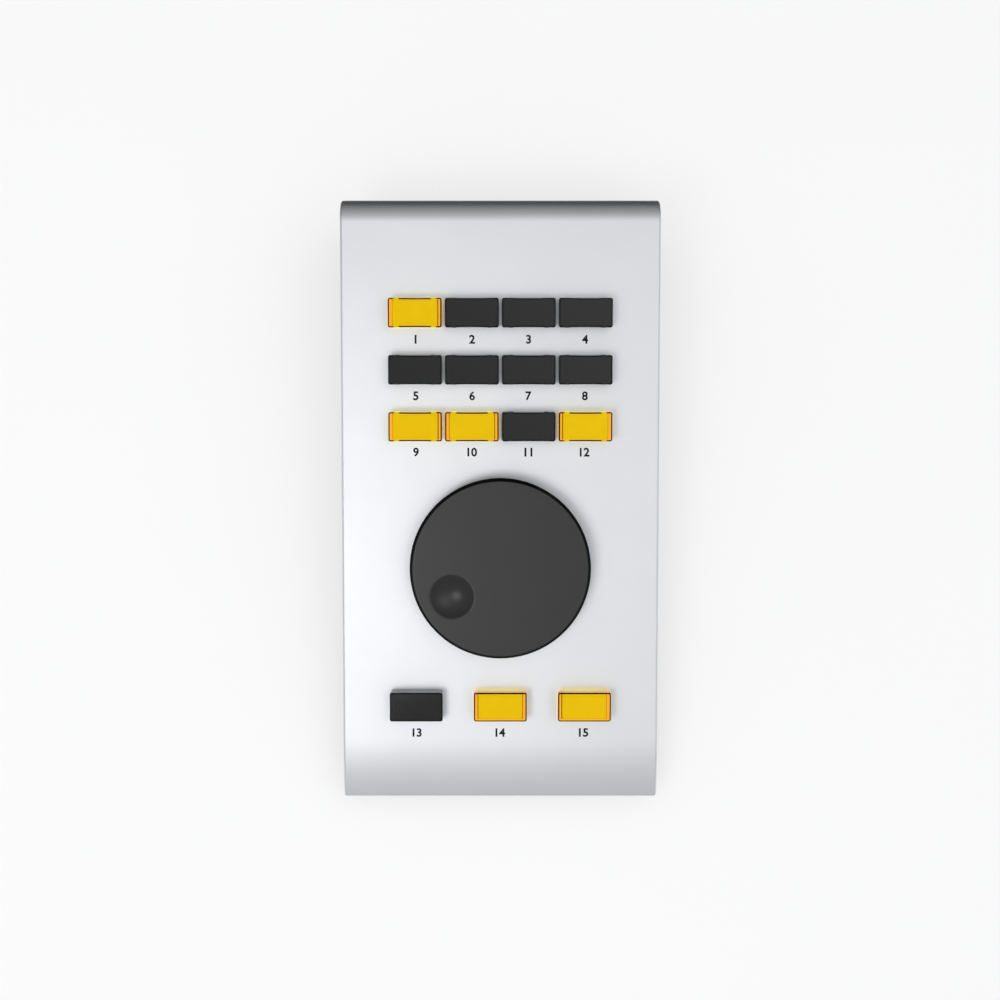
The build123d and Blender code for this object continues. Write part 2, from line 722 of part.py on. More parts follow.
# USB socket: a metal shell round an insulator with a tongue
with BuildPart() as usb_shell:
    with BuildSketch(rear_face.offset(-usb_proud)):
        with Locations(usb_centre):
            Rectangle(usb_width, usb_height)
            Rectangle(usb_width - 2 * usb_wall, usb_height - 2 * usb_wall, mode=Mode.SUBTRACT)
    extrude(amount=usb_depth)

usb_inner_wall = usb_wall + usb_gap
with BuildPart() as usb_insulator:
    with BuildSketch(rear_face.offset(usb_setback - usb_proud)):
        with Locations(usb_centre):
            Rectangle(usb_width - 2 * usb_inner_wall, usb_height - 2 * usb_inner_wall)
    extrude(amount=usb_depth - usb_setback)
    with BuildSketch(rear_face.offset(usb_setback - usb_proud)) as plug_space:
        with Locations(usb_centre):
            Rectangle(usb_plug_width, usb_plug_height)
        chamfer(plug_space.vertices().group_by(Axis.Y)[-1], usb_plug_chamfer)
        with Locations(usb_centre):
            Rectangle(usb_tongue_width, usb_tongue_height, mode=Mode.SUBTRACT)
    extrude(amount=usb_plug_depth, mode=Mode.SUBTRACT)

# Footswitch jack: a moulded body, and a threaded sleeve that the nut holds to the rear panel
with BuildPart() as jack_body:
    with BuildSketch(rear_face.offset(rear_sheet)):
        with Locations(jack_centre):
            Rectangle(jack_width, jack_height)
    extrude(amount=jack_depth)
    with BuildSketch(rear_face.offset(rear_sheet)):
        with Locations(jack_centre):
            Circle(jack_sleeve_diameter / 2 + thread_gap)
    extrude(amount=jack_sleeve_seat, mode=Mode.SUBTRACT)
    with BuildSketch(rear_face.offset(rear_sheet)):
        with Locations(jack_centre):
            Circle(jack_bore / 2)
    extrude(amount=jack_depth - jack_end, mode=Mode.SUBTRACT)

jack_sleeve_proud = jack_nut_height + jack_sleeve_end
with BuildPart() as jack_sleeve:
    with BuildSketch(rear_face.offset(-jack_sleeve_proud)):
        with Locations(jack_centre):
            Circle(jack_sleeve_diameter / 2)
            Circle(jack_bore / 2, mode=Mode.SUBTRACT)
    extrude(amount=jack_sleeve_proud + rear_sheet + jack_sleeve_seat)

with BuildPart() as jack_nut:
    with BuildSketch(rear_face):
        with Locations(jack_centre):
            RegularPolygon(jack_nut_flats / 2, 6, major_radius=False)
            Circle(jack_sleeve_diameter / 2 + thread_gap, mode=Mode.SUBTRACT)
    extrude(amount=-jack_nut_height)

# One STEP file for each piece
pieces = {
    "top_cover": top_cover,
    "base_tray": base_tray,
    "rear_panel": rear_panel,
    "rubber_feet": rubber_feet,
    "cover_blocks": cover_blocks,
    "case_screws": case_screws,
    **keys,
    "snap_domes": snap_domes,
    "switch_housings": switch_housings,
    "key_lamps": key_lamps,
    "dial": dial,
    "dial_set_screw": dial_set_screw,
    "encoder_shaft": encoder_shaft,
    "encoder_code_disc": encoder_code_disc,
    "encoder_bush": encoder_bush,
    "encoder_body": encoder_body,
    "encoder_washer": encoder_washer,
    "encoder_nut": encoder_nut,
    "key_board": key_board,
    "main_board": main_board,
    "board_studs": board_studs,
    "board_screws": board_screws,
    "board_chips": board_chips,
    "ribbon_cable": ribbon_cable,
    "ribbon_sockets": ribbon_sockets,
    "usb_shell": usb_shell,
    "usb_insulator": usb_insulator,
    "jack_body": jack_body,
    "jack_sleeve": jack_sleeve,
    "jack_nut": jack_nut,
}
os.makedirs("parts", exist_ok=True)
for name, piece in pieces.items():
    piece.part.label = name
    export_step(piece.part, f"parts/{name}.step")
print(f"{len(pieces)} pieces, case {case_width:.2f} x {case_length:.2f} mm")
print(f"dial axis at y {dial_point.X:.3f}, z {dial_point.Y:.3f} mm")
print(f"jack centre at x {jack_centre[0]:.3f}, z {jack_centre[1]:.3f}, rear face y {rear_face_y:.3f} mm")
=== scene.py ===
# %% [markdown]
# # A desktop remote for audio gear
#
# The CAD model gives every piece its size and place. This script loads it as a fixed frame and
# builds the looks around it: smooth meshes for the pieces that show, a finish for every surface,
# and a small white studio.

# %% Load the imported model
import json
from math import asin, cos, degrees, pi, radians, sin, sqrt, tan

import bmesh
import bpy
from mathutils import Matrix, Vector

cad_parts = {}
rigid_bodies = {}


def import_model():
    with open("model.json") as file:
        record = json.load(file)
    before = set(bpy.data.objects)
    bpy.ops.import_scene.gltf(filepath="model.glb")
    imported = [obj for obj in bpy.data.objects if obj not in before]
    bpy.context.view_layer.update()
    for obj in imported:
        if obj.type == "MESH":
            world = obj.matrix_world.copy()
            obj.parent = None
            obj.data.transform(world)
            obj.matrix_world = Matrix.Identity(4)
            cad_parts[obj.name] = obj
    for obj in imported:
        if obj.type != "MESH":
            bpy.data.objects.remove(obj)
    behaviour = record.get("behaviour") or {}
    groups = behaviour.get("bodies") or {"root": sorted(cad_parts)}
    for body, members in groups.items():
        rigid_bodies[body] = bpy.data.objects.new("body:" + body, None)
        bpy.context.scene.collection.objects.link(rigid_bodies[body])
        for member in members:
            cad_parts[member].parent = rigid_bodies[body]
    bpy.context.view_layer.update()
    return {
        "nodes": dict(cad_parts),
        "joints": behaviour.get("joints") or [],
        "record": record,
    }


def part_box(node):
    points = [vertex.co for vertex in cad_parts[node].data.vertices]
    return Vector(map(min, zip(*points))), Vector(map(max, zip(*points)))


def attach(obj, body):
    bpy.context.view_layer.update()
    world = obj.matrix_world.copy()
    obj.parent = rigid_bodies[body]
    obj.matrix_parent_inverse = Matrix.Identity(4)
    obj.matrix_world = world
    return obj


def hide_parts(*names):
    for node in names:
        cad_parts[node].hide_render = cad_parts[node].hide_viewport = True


for stray in list(bpy.data.objects):
    bpy.data.objects.remove(stray)
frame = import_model()
nodes = frame["nodes"]
mm = 0.001


def rounded(corners):
    return [tuple(round(value, 4) for value in corner) for corner in corners]


# %% [markdown]
# ## Where things are
#
# The record says which body each node rides on and which finish it has. The dial's joint gives the
# panel: its place is where the dial's axis meets the panel, and its axis points out of it. With
# these, keys, dial and print can be modelled flat, in the panel's own across, up and out
# directions, and moved to the slope at the end.

# %% Bodies, finishes and the panel's own frame
record = frame["record"]
bodies = record["behaviour"]["bodies"]
body_of = {node: body for body, members in bodies.items() for node in members}
slot_of = {row["node"]: row["material_slot"] for row in record["subparts"]}
dial_turn = next(joint for joint in frame["joints"] if joint["name"] == "dial_turn")
panel_across = Vector((1, 0, 0))
panel_out = Vector(dial_turn["axis"]).normalized()
panel_up = panel_out.cross(panel_across)
panel = Matrix((panel_across, panel_up, panel_out)).transposed().to_4x4()
panel.translation = Vector(dial_turn["pos_m"])
slope = panel_out.angle(Vector((0, 0, 1)))

# Rows and columns are counted in key pitches from the dial's axis.
key_pitch = 19.05 * mm
upper_rows, upper_columns = (4.5, 3.5, 2.5), (-1.5, -0.5, 0.5, 1.5)
lower_row, lower_columns = -2.5, (-1.5, 0, 1.5)
key_places = [
    (column * key_pitch, row * key_pitch) for row in upper_rows for column in upper_columns
]
clipped_keys = len(key_places)
key_places += [(column * key_pitch, lower_row * key_pitch) for column in lower_columns]
print("panel slope", round(degrees(slope), 2), "degrees,", len(key_places), "keys")

# %% [markdown]
# ## The camera
#
# The photograph looks almost straight down, a little towards the rear. The distance and the lens
# come from how much the key rows shrink towards the front, so they are set first and everything
# else is judged through them.

# %% Camera
aim = Vector((-0.11 * mm, 0.15 * mm, 30.05 * mm))
view_distance = 627 * mm
view_lean = radians(3.17)
camera_data = bpy.data.cameras.new("camera")
camera_data.sensor_width = 36
camera_data.lens = 66.45
camera = bpy.data.objects.new("camera", camera_data)
camera.location = aim + view_distance * Vector((0, -sin(view_lean), cos(view_lean)))
camera.rotation_euler = (aim - camera.location).to_track_quat("-Z", "Y").to_euler()
bpy.context.scene.collection.objects.link(camera)
bpy.context.scene.camera = camera
print("camera at", *rounded([camera.location]))

# %% [markdown]
# ## A bench for shader nodes
#
# Shader maths reads best as sums. A Wire holds one output socket: adding or multiplying wires adds
# Math nodes, and its node method adds any other kind of node. A Finish is a material with one
# Principled shader: values that are the same all over are set on its sockets, and only what
# changes over the surface is linked.

# %% Wires and finishes
class Wire:
    """One output socket of a node tree, which can be used in sums."""

    def __init__(self, tree, socket=None):
        self.tree = tree
        self.socket = socket

    def node(self, kind, settings=None, inputs=None, output=0):
        """Add a node with its settings, fill or link its inputs, and return one output."""
        made = self.tree.nodes.new("ShaderNode" + kind)
        for name, value in (settings or {}).items():
            setattr(made, name, value)
        for name, value in (inputs or {}).items():
            self.fill(made.inputs[name], value)
        return Wire(self.tree, made.outputs[output])

    def fill(self, socket, value):
        """Link a wire to a socket, or set a plain value on it."""
        if isinstance(value, Wire):
            self.tree.links.new(value.socket, socket)
        elif socket.type == "RGBA":
            socket.default_value = (*value[:3], 1)
        else:
            socket.default_value = value

    def math(self, operation, first, second):
        return self.node("Math", {"operation": operation}, {0: first, 1: second})

    def __add__(self, other):
        return self.math("ADD", self, other)

    def __sub__(self, other):
        return self.math("SUBTRACT", self, other)

    def __mul__(self, other):
        return self.math("MULTIPLY", self, other)

    __radd__ = __add__
    __rmul__ = __mul__

    def mixed(self, low, high):
        """Blend two colours by this wire."""
        factor, first_colour, second_colour, colour_out = 0, 6, 7, 2
        inputs = {factor: self, first_colour: low, second_colour: high}
        return self.node("Mix", {"data_type": "RGBA"}, inputs, colour_out)


class Finish(Wire):
    """A material with one Principled shader and a bench for the nodes that feed it."""

    def __init__(self, name, **sockets):
        self.material = bpy.data.materials.new(name)
        self.material.use_nodes = True
        super().__init__(self.material.node_tree)
        self.shader = self.tree.nodes["Principled BSDF"]
        self.place = self.node("TexCoord", output="Object")
        for socket, value in sockets.items():
            self.feed(socket.replace("_", " "), value)

    def feed(self, socket, value):
        self.fill(self.shader.inputs[socket], value)

    def noise(self, size, detail=2.0):
        """Return soft noise from 0 to 1 whose blotches are about this size in metres."""
        inputs = {"Vector": self.place, "Scale": 1 / size, "Detail": detail}
        return self.node("TexNoise", None, inputs, "Fac")

    def bump(self, height, depth, strength=1.0):
        """Raise the surface by up to this depth in metres."""
        inputs = {"Height": height, "Distance": depth, "Strength": strength}
        self.feed("Normal", self.node("Bump", None, inputs, "Normal"))


finishes = {}
print("bench ready")

# %% [markdown]
# ## Metals
#
# The cover is bead-blasted and anodised: the blasting leaves tiny dents, so its shine is wide and
# even, and the anodic layer adds a faint blue. Tray and rear plate are powder coated, which dries
# to a fine orange peel. Small turned and plated parts are shinier, with faint handling marks in
# their roughness.

# %% Metal finishes
def blasted_aluminium(name, low, high, roughness):
    finish = Finish(name, Metallic=1.0)
    grain = finish.noise(0.32 * mm, 3)
    cloud = finish.noise(24 * mm)
    finish.feed("Base Color", cloud.mixed(low, high))
    finish.feed("Roughness", roughness - 0.04 + 0.08 * grain)
    finish.bump(grain, 0.012 * mm, 0.5)
    return finish.material


def plated_metal(name, low, high, roughness, mark_size=0.8 * mm):
    finish = Finish(name, Metallic=1.0)
    marks = finish.noise(mark_size, 4)
    finish.feed("Base Color", finish.noise(6 * mm).mixed(low, high))
    finish.feed("Roughness", roughness - 0.06 + 0.12 * marks)
    finish.bump(marks, 0.003 * mm, 0.4)
    return finish.material


def powder_coat(name, low, high):
    finish = Finish(name)
    peel = finish.noise(0.45 * mm, 2)
    finish.feed("Base Color", finish.noise(9 * mm, 3).mixed(low, high))
    finish.feed("Roughness", 0.42 + 0.16 * peel)
    finish.bump(peel, 0.03 * mm, 0.6)
    return finish.material


# Each row holds the two tints that a finish wanders between, and its roughness.
blasted = {
    "satin_aluminium": ((0.82, 0.83, 0.85), (0.87, 0.88, 0.90), 0.47),
    "plain_aluminium": ((0.66, 0.66, 0.67), (0.74, 0.74, 0.75), 0.42),
}
plated = {
    "screw_steel": ((0.07, 0.07, 0.075), (0.12, 0.12, 0.125), 0.34),
    "spring_steel": ((0.62, 0.62, 0.64), (0.72, 0.72, 0.74), 0.22),
    "shaft_steel": ((0.52, 0.52, 0.54), (0.62, 0.62, 0.64), 0.28),
    "bush_brass": ((0.68, 0.50, 0.22), (0.78, 0.60, 0.30), 0.3),
    "socket_metal": ((0.66, 0.65, 0.63), (0.76, 0.75, 0.73), 0.2),
}
for name, look in blasted.items():
    finishes[name] = blasted_aluminium(name, *look)
for name, look in plated.items():
    finishes[name] = plated_metal(name, *look)
finishes["black_steel"] = powder_coat("black_steel", (0.012, 0.012, 0.013), (0.022, 0.022, 0.024))
contact_gold = plated_metal("contact_gold", (0.85, 0.60, 0.22), (0.95, 0.70, 0.30), 0.2, 0.3 * mm)
print(len(finishes), "metal finishes")

# %% [markdown]
# ## Plastics and rubber
#
# Moulded pieces carry the spark-eroded texture of their mould: fine, shallow pits that also break
# up the shine. The dial's top is a satin black; its rim is painted shade, a near-black that barely
# reflects and so stays dark under any light.

# %% Moulded finishes
def moulded(name, low, high, roughness, pit_size, pit_depth, **sockets):
    finish = Finish(name, **sockets)
    pits = finish.noise(pit_size, 3)
    finish.feed("Base Color", finish.noise(7 * mm).mixed(low, high))
    finish.feed("Roughness", roughness - 0.05 + 0.1 * pits)
    finish.bump(pits, pit_depth, 0.5)
    return finish.material


def grey(level):
    return (level, level, level)


# Each row holds two tints, the roughness, and the size and depth of the pits.
mouldings = {
    "dial_black": (grey(0.013), grey(0.016), 0.34, 0.2 * mm, 0.004 * mm),
    "foot_rubber": (grey(0.012), grey(0.02), 0.75, 0.4 * mm, 0.02 * mm),
    "switch_plastic": (grey(0.012), grey(0.02), 0.5, 0.3 * mm, 0.01 * mm),
    "socket_plastic": (grey(0.6), (0.66, 0.65, 0.62), 0.45, 0.3 * mm, 0.01 * mm),
    "ribbon_grey": (grey(0.36), grey(0.42), 0.5, 0.6 * mm, 0.02 * mm),
    "lamp_resin": ((0.85, 0.74, 0.34), (0.92, 0.82, 0.42), 0.2, 0.4 * mm, 0.004 * mm),
}
for name, look in mouldings.items():
    finishes[name] = moulded(name, *look)
board_green = (0.012, 0.10, 0.045), (0.02, 0.15, 0.07)
finishes["board_laminate"] = moulded(
    "board_laminate", *board_green, 0.3, 0.8 * mm, 0.01 * mm, Coat_Weight=0.3
)
# Painted shade: the dial's bevel and side get a near-black copy of the dial's black that barely
# reflects, so that they stay as dark as the ring the light gives them.
dial_rim_painted_shade = moulded(
    "dial_rim_painted_shade", grey(0.001), grey(0.002), 0.6, 0.3 * mm, 0.01 * mm, Specular_IOR_Level=0.04
)
print_ink = moulded(
    "print_ink", grey(0.008), grey(0.014), 0.6, 0.15 * mm, 0.002 * mm, Specular_IOR_Level=0.1
)
print(len(finishes), "finishes so far")

# %% [markdown]
# ## Clear caps and light guides
#
# A lit cap is a clear amber shell over a milky block that glows. Painting that on a solid would
# look flat from any other side, so the shell really refracts. The orange bands are painted light:
# the foot faces of the thick amber walls glow, and that glow leaves through the walls' top. The end
# walls' inner faces and the rounded rim are painted shade, an opaque dark coat. The unlit caps are
# the same shell in smoke grey over a dark block.

# %% Cap and guide finishes
def clear_plastic(name, low, high, roughness, shine, ior):
    finish = Finish(name, Transmission_Weight=1.0, IOR=ior, Specular_Tint=shine)
    swirl = finish.noise(2.5 * mm)
    finish.feed("Base Color", swirl.mixed(low, high))
    finish.feed("Roughness", roughness + 0.03 * finish.noise(0.5 * mm, 3))
    return finish.material


# Painted shade: an opaque dark coat for the caps' rounded rim that stands for the dark outline the
# light gives.
def dark_edge(name, low, high):
    return moulded(name, low, high, 0.4, 0.3 * mm, 0.003 * mm, Specular_IOR_Level=0.05)


def light_guide(name, low, high, glow_low, glow_high, strength):
    finish = Finish(name, Emission_Strength=strength)
    milk = finish.noise(3 * mm)
    finish.feed("Base Color", milk.mixed(low, high))
    finish.feed("Emission Color", milk.mixed(glow_low, glow_high))
    finish.feed("Roughness", 0.35 + 0.1 * finish.noise(0.4 * mm, 3))
    return finish.material


finishes["amber_cap"] = clear_plastic(
    "amber_cap", (1.0, 0.54, 0.04), (1.0, 0.58, 0.06), 0.02, (1.0, 0.7, 0.15), 1.47
)
finishes["smoke_cap"] = clear_plastic("smoke_cap", grey(0.012), grey(0.02), 0.08, grey(1), 1.55)
guide_yellow, guide_glow_strength = ((0.7, 0.6, 0.05), (0.75, 0.65, 0.08)), 0.87
guide_glow = (0.53, 0.84, 0.04), (0.55, 0.88, 0.05)
finishes["lit_guide"] = light_guide("lit_guide", *guide_yellow, *guide_glow, guide_glow_strength)
finishes["dark_guide"] = light_guide("dark_guide", grey(0.05), grey(0.07), grey(0), grey(0), 0.0)
# Painted light: the foot faces of each amber cap's walls glow, though no lamp is there, so that the
# walls show orange bands. The smoke caps' feet take the dark guide's finish.
painted_glow_amber, foot_glow_strength = ((0.6, 0.3, 0.02), (0.65, 0.34, 0.03)), 1.0
foot_glow = (0.9, 0.5, 0.12), (0.95, 0.55, 0.15)
wall_feet = {
    "amber_cap": light_guide("amber_foot_painted_glow", *painted_glow_amber, *foot_glow, foot_glow_strength),
    "smoke_cap": finishes["dark_guide"],
}
# Painted shade: the end walls' inner faces are an opaque dark brown that stands for the shaded gap
# beside the block.
wall_shade_brown = (0.012, 0.004, 0.001), (0.02, 0.007, 0.001)
cap_wall_painted_shade = moulded("cap_wall_painted_shade", *wall_shade_brown, 0.5, 0.3 * mm, 0.004 * mm)
cap_rim_shades = {
    "amber_cap": dark_edge("amber_rim_painted_shade", (0.015, 0.003, 0.0), (0.03, 0.008, 0.001)),
    "smoke_cap": dark_edge("smoke_rim_painted_shade", grey(0.006), grey(0.01)),
}
print("finishes:", sorted(finishes))

# %% [markdown]
# ## Shared steps
#
# Every new piece ends the same way: its mesh moves to its place, is shaded smooth up to a given
# angle, and rides on its body. Weighted normals keep big flat faces flat where they run into small
# rounds.

# %% Make a piece, cut a piece
def plain_object(name, bm):
    """Turn a bmesh into an object at the origin."""
    mesh = bpy.data.meshes.new(name)
    bm.to_mesh(mesh)
    bm.free()
    made = bpy.data.objects.new(name, mesh)
    bpy.context.scene.collection.objects.link(made)
    return made


def finish_piece(name, bm, body, slot, stands_for=(), materials=None, smooth_angle=32):
    """Turn a bmesh into a finished piece that rides on a body and stands for CAD nodes."""
    piece = plain_object(name, bm)
    for material in materials or [finishes[slot]]:
        piece.data.materials.append(material)
    piece.data.shade_smooth()
    piece.data.set_sharp_from_angle(angle=radians(smooth_angle))
    even = piece.modifiers.new("even_shading", "WEIGHTED_NORMAL")
    even.weight = 100
    even.keep_sharp = True
    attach(piece, body)
    if stands_for:
        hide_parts(*stands_for)


def carve(bm, cutter):
    """Return a bmesh with the cutter's closed shape taken out of it."""
    blank = plain_object("blank", bm)
    knife = plain_object("knife", cutter)
    cut = blank.modifiers.new("cut", "BOOLEAN")
    cut.operation = "DIFFERENCE"
    cut.solver = "EXACT"
    cut.object = knife
    result = blank.evaluated_get(bpy.context.evaluated_depsgraph_get())
    carved = bmesh.new()
    carved.from_mesh(bpy.data.meshes.new_from_object(result))
    for scrap in (blank, knife):
        bpy.data.objects.remove(scrap)
    return carved


def round_edges(bm, edges, radius, steps):
    bmesh.ops.bevel(
        bm,
        geom=edges,
        offset=radius,
        affect="EDGES",
        segments=steps,
        profile=0.5,
        material=-1,
        clamp_overlap=True,
    )


def edge_rise(edge):
    return abs(edge.verts[0].co.z - edge.verts[1].co.z)


def block(bm, size, middle, corner=0.0, corner_steps=5):
    """Add a box; a corner radius rounds its upright edges."""
    made = bmesh.ops.create_cube(bm, size=1)["verts"]
    bmesh.ops.scale(bm, vec=size, verts=made)
    bmesh.ops.translate(bm, vec=middle, verts=made)
    if corner:
        edges = {e for v in made for e in v.link_edges}
        upright = [e for e in edges if edge_rise(e) > mm / 10]
        round_edges(bm, upright, corner, corner_steps)


def rod(bm, radius, length, sides):
    """Add a round bar along Z; return its vertices."""
    made = bmesh.ops.create_cone(
        bm, cap_ends=True, segments=sides, radius1=radius, radius2=radius, depth=length
    )
    return made["verts"]


print("shared steps ready")

# %% [markdown]
# ## The cover
#
# On the real one a flat sheet is bent twice. Here the sheet's cross-section does the travelling: a
# flat strip with its two outer corners rounded is spun through the front bend, drawn along the
# panel, spun through the tight rear bend and drawn down the lip.

# %% Bend the cover
cover_low, cover_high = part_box("top_cover")
cover_width = cover_high.x - cover_low.x
sheet = 3.0 * mm
rim_round = 1.0 * mm
front_run, front_radius, front_angle = 60.2 * mm, 75 * mm, radians(16)
rear_run, rear_radius, rear_angle = 116.225 * mm, 7.5 * mm, pi / 2 + slope
lip = 5.0 * mm
front_rim_round = 0.95 * rim_round
front_steps, rear_steps = 14, 28
quarter_turn = Matrix.Rotation(pi / 2, 3, "X")


def last_edges(made, key):
    return [item for item in made[key] if isinstance(item, bmesh.types.BMEdge)]


def sweep(bm, edges, centre, angle, steps):
    """Spin a loop of edges about an axis across the panel; return the loop that it ends on."""
    made = bmesh.ops.spin(bm, geom=edges, cent=centre, axis=(1, 0, 0), angle=angle, steps=steps)
    return last_edges(made, "geom_last")


def draw_out(bm, edges, step):
    """Extrude a loop of edges along a straight step; return the new loop."""
    made = bmesh.ops.extrude_edge_only(bm, edges=edges)
    new_verts = [item for item in made["geom"] if isinstance(item, bmesh.types.BMVert)]
    bmesh.ops.translate(bm, vec=step, verts=new_verts)
    return [e for e in last_edges(made, "geom") if set(e.verts) <= set(new_verts)]


cover = bmesh.new()
strip = bmesh.ops.create_grid(cover, x_segments=1, y_segments=1, size=0.5)["verts"]
bmesh.ops.scale(cover, vec=(cover_width, sheet, 1), verts=strip)
bmesh.ops.translate(cover, vec=(0, -sheet / 2, 0), verts=strip)
outer_corners = [v for v in strip if v.co.y > -sheet / 2]
bmesh.ops.bevel(
    cover,
    geom=outer_corners,
    offset=rim_round,
    affect="VERTICES",
    segments=6,
    profile=0.5,
    material=-1,
)
bmesh.ops.delete(cover, geom=cover.faces[:], context="FACES_ONLY")
bmesh.ops.rotate(cover, cent=(0, 0, 0), matrix=quarter_turn, verts=cover.verts)
bmesh.ops.translate(cover, vec=(0, -front_run, 0), verts=cover.verts)
front_centre = Vector((0, -front_run, -front_radius))
rear_centre = Vector((0, rear_run, -rear_radius))
front_tilt = Matrix.Rotation(front_angle, 3, "X")
bmesh.ops.rotate(cover, cent=front_centre, matrix=front_tilt, verts=cover.verts)
front_loop = cover.edges[:]
panel_loop = sweep(cover, front_loop, front_centre, -front_angle, front_steps)
bend_loop = draw_out(cover, panel_loop, (0, front_run + rear_run, 0))
lip_loop = sweep(cover, bend_loop, rear_centre, -rear_angle, rear_steps)
down = panel.to_3x3().inverted() @ Vector((0, 0, -lip))
end_loop = draw_out(cover, lip_loop, down)
for loop in (front_loop, end_loop):
    bmesh.ops.edgeloop_fill(cover, edges=loop)
bmesh.ops.recalc_face_normals(cover, faces=cover.faces)
under = min(v.co.z for e in front_loop for v in e.verts)
front_rim = [e for e in front_loop if max(v.co.z for v in e.verts) > under + mm]
round_edges(cover, front_rim, front_rim_round, 5)
print("bent sheet has", len(cover.faces), "faces")

# %% [markdown]
# Key windows and the hole for the dial's bush go right through the flat part, so one cutter that
# holds all of them is made and taken out at once.

# %% Cut the windows
cut_depth = 8 * mm
window_size, window_corner = (11.7 * mm, 6.2 * mm, cut_depth), 1.2 * mm
bush_hole_radius = 4.65 * mm
windows = bmesh.new()
for across, up in key_places:
    block(windows, window_size, (across, up, -sheet / 2), window_corner)
bush_hole = rod(windows, bush_hole_radius, cut_depth, 48)
bmesh.ops.translate(windows, vec=(0, 0, -sheet / 2), verts=bush_hole)
cover = carve(cover, windows)
cover.transform(panel)
finish_piece("cover", cover, "case", "satin_aluminium", ["top_cover"])
print("cover cut with", len(key_places), "windows")

# %% [markdown]
# ## The dial
#
# A turned wheel: half of its section is spun round the axis. The finger dimple is a second,
# smaller turned shape whose axis stands off-centre, so the flat top is filled between the two
# rims.

# %% Turn the dial
dial_radius, dial_lift, dial_top = 30.5 * mm, 1.2 * mm, 10.2 * mm
bevel_width, bevel_height, side_draft = 0.9 * mm, 1.7 * mm, 0.4 * mm
recess_radius, recess_top, bore_radius, bore_top = 10 * mm, 4.3 * mm, 3.05 * mm, 8.2 * mm
dimple_radius, dimple_depth, dimple_margin = 11.0 * mm, 2.8 * mm, 3.5 * mm
dimple_bearing = radians(210)
dimple_rim = sqrt(dimple_depth * (2 * dimple_radius - dimple_depth))
dimple_reach = dial_radius - bevel_width - dimple_margin - dimple_rim
dimple_across = dimple_reach * cos(dimple_bearing)
dimple_up = dimple_reach * sin(dimple_bearing)
dimple_middle = Vector((dimple_across, dimple_up, dial_top))
flat_band = 0.7 * mm
dial_steps, bowl_steps, arc_steps = 192, 128, 16


def turned(bm, points, steps):
    """Spin a line of points in the XZ plane once round Z; return the new vertices."""
    line = [bm.verts.new((x, 0, z)) for x, z in points]
    edges = [bm.edges.new(pair) for pair in zip(line, line[1:])]
    before = set(bm.verts) - set(line)
    bmesh.ops.spin(
        bm,
        geom=line + edges,
        cent=(0, 0, 0),
        axis=(0, 0, 1),
        angle=2 * pi,
        steps=steps,
        use_merge=True,
    )
    return [v for v in bm.verts if v not in before]


def ring(bm, centre, radius):
    """Return the edges that lie on a level circle."""

    def on_circle(vert):
        level = abs(vert.co.z - centre.z) < mm / 1000
        return level and abs((vert.co.xy - centre.xy).length - radius) < mm / 200

    return [e for e in bm.edges if on_circle(e.verts[0]) and on_circle(e.verts[1])]


dial = bmesh.new()
turned(
    dial,
    [
        (dial_radius - bevel_width - flat_band, dial_top),
        (dial_radius - bevel_width, dial_top),
        (dial_radius, dial_top - bevel_height),
        (dial_radius - side_draft, dial_lift),
        (recess_radius, dial_lift),
        (recess_radius, recess_top),
        (bore_radius, recess_top),
        (bore_radius, bore_top),
        (0, bore_top),
    ],
    dial_steps,
)
arc_end = pi / 2 - asin((dimple_radius - dimple_depth) / dimple_radius)
arc = [arc_end * step / arc_steps for step in range(arc_steps, -1, -1)]
bowl_floor = dial_top - dimple_depth
bowl_points = [(dimple_radius * sin(a), bowl_floor + dimple_radius * (1 - cos(a))) for a in arc]
bowl = turned(dial, [(dimple_rim + flat_band, dial_top)] + bowl_points, bowl_steps)
bmesh.ops.translate(dial, vec=(dimple_middle.x, dimple_middle.y, 0), verts=bowl)
bmesh.ops.remove_doubles(dial, verts=dial.verts, dist=mm / 1000)
top_ring = ring(dial, Vector((0, 0, dial_top)), dial_radius - bevel_width - flat_band)
bowl_ring = ring(dial, dimple_middle, dimple_rim + flat_band)
bmesh.ops.triangle_fill(dial, edges=top_ring + bowl_ring, use_beauty=True, normal=(0, 0, 1))
bmesh.ops.recalc_face_normals(dial, faces=dial.faces)
print("dial turned,", len(dial.faces), "faces")

# %% [markdown]
# A wheel that is held all day has no sharp edge, so each rim is rounded. A hole for the set screw
# is drilled from the rear, and the bevel and the side get a duller black that is painted shade.

# %% Round and drill the dial
rim_soft, bowl_soft = 0.3 * mm, 0.4 * mm
rim_margin, rim_drop = 0.2 * mm, 0.1 * mm
drill_radius, drill_length, drill_middle = 1.55 * mm, 30 * mm, (0, 17 * mm, 6.25 * mm)
soft_rings = [
    (Vector((0, 0, dial_top)), dial_radius - bevel_width, rim_soft),
    (Vector((0, 0, dial_top - bevel_height)), dial_radius, rim_soft),
    (Vector((0, 0, dial_lift)), dial_radius - side_draft, rim_soft),
    (dimple_middle, dimple_rim, bowl_soft),
]
for centre, radius, soft in soft_rings:
    round_edges(dial, ring(dial, centre, radius), soft, 4)
drill = bmesh.new()
rod(drill, drill_radius, drill_length, 40)
bmesh.ops.rotate(drill, cent=(0, 0, 0), matrix=quarter_turn, verts=drill.verts)
bmesh.ops.translate(drill, vec=drill_middle, verts=drill.verts)
dial = carve(dial, drill)
rim_edge = dial_radius - bevel_width - rim_margin
# The bevel and side take the second finish, the painted shade.
for face in dial.faces:
    middle = face.calc_center_median()
    face.material_index = int(middle.xy.length > rim_edge and middle.z < dial_top - rim_drop)
dial.transform(panel)
finish_piece("wheel", dial, "dial", "dial_black", ["dial"], [finishes["dial_black"], dial_rim_painted_shade])
print("dial rounded and drilled")
